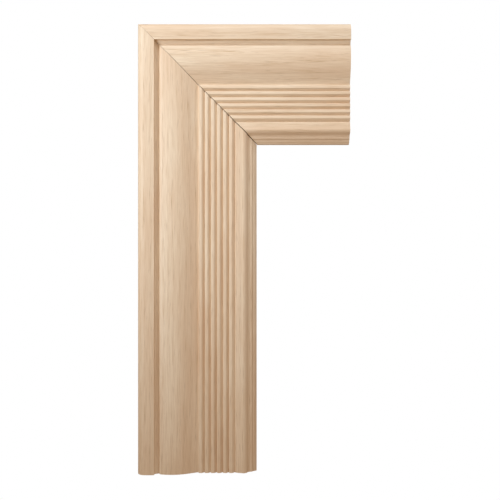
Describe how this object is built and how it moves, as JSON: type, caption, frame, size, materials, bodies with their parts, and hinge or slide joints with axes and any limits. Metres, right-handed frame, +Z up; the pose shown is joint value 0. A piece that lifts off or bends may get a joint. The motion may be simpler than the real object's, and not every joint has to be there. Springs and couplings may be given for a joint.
{
  "type": "door surround moulding",
  "caption": "Mitred top corner of a moulded oak door surround: a jamb casing and a head casing with back band, ogee, reeds, rounded nose and small inner steps, cut square at both free ends.",
  "frame": {"origin": "on the wall plane, on the centreline of the jamb casing's middle back land, level with the inner edge of the head casing", "axes": "+Z up along the jamb casing, +X along the head casing away from the outer corner, +Y into the wall; the moulded face looks towards -Y"},
  "size_m": [0.227, 0.02, 0.48],
  "materials": {
    "jamb_oak": "planed and sanded, unfinished",
    "head_oak": "planed and sanded, unfinished"
  },
  "bodies": {
    "root": {"jamb_casing": "jamb_oak", "head_casing": "head_oak"}
  },
  "joints": []
}
